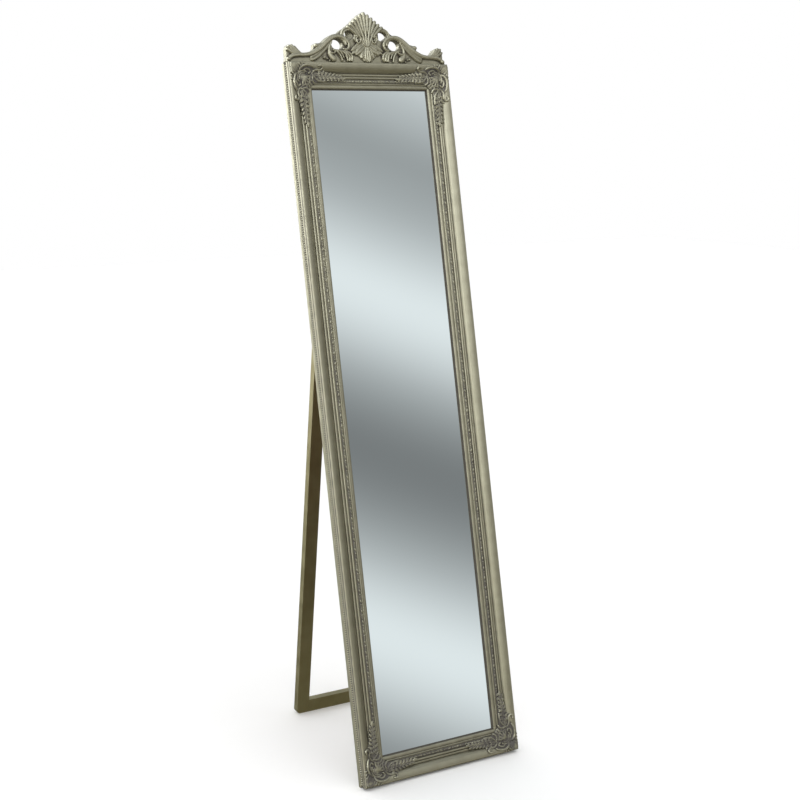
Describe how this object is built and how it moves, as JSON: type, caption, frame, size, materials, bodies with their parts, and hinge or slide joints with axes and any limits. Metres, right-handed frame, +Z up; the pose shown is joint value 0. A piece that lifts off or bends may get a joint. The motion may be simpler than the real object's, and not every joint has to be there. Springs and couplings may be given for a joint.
{
  "type": "free-standing dressing mirror",
  "caption": "Tall dressing mirror in an ornate moulded frame with pierced crest and corner leaves, leaning on a hinged rear easel stand.",
  "frame": {"origin": "on the floor, at the middle of the object's footprint box", "axes": "+Z up, the mirror faces -Y, the stand is on the +Y side, +X to the viewer's right"},
  "size_m": [0.45, 0.514, 1.7959],
  "materials": {
    "moulding": "aged champagne-silver leaf paint on moulded wood, semi-gloss with a darker wash in the recesses",
    "ornament": "aged champagne-silver leaf paint on cast composition ornament, grey-taupe wash in the recesses",
    "stand_paint": "plain champagne paint on wood, satin",
    "mirror": "silvered float glass",
    "backboard": "bare hardboard, matt",
    "plain_wood": "bare beech, matt",
    "steel": "zinc plated, satin"
  },
  "bodies": {
    "frame": {"top_rail": "moulding", "bottom_rail": "moulding", "left_stile": "moulding", "right_stile": "moulding", "top_pearl_band": "ornament", "bottom_pearl_band": "ornament", "left_pearl_band": "ornament", "right_pearl_band": "ornament", "top_side_beads": "moulding", "bottom_side_beads": "moulding", "left_side_beads": "moulding", "right_side_beads": "moulding", "top_left_ornament": "ornament", "top_right_ornament": "ornament", "bottom_right_ornament": "ornament", "bottom_left_ornament": "ornament", "crest": "moulding", "left_crest_dowel": "plain_wood", "right_crest_dowel": "plain_wood", "mirror_glass": "mirror", "backboard": "backboard", "back_clip_1": "steel", "back_clip_screw_1": "steel", "back_clip_2": "steel", "back_clip_screw_2": "steel", "back_clip_3": "steel", "back_clip_screw_3": "steel", "back_clip_4": "steel", "back_clip_screw_4": "steel", "back_clip_5": "steel", "back_clip_screw_5": "steel", "back_clip_6": "steel", "back_clip_screw_6": "steel", "hinge_batten": "stand_paint", "batten_screw_1": "steel", "batten_screw_2": "steel", "batten_screw_3": "steel", "batten_screw_4": "steel", "left_hinge_frame_leaf": "steel", "left_hinge_pin": "steel", "left_frame_leaf_screw_1": "steel", "left_frame_leaf_screw_2": "steel", "right_hinge_frame_leaf": "steel", "right_hinge_pin": "steel", "right_frame_leaf_screw_1": "steel", "right_frame_leaf_screw_2": "steel"},
    "stand": {"left_hinge_stand_leaf": "steel", "left_stand_leaf_screw_1": "steel", "left_stand_leaf_screw_2": "steel", "right_hinge_stand_leaf": "steel", "right_stand_leaf_screw_1": "steel", "right_stand_leaf_screw_2": "steel", "left_leg": "stand_paint", "right_leg": "stand_paint", "bottom_stretcher": "stand_paint", "stand_head_rail": "stand_paint"}
  },
  "joints": [
    {"name": "stand_hinge", "type": "hinge", "parent": "frame", "child": "stand", "pos_m": [0, 0.09523, 1.42296], "axis": [1, 0, 0], "range_deg": [-17.8, 0]}
  ]
}
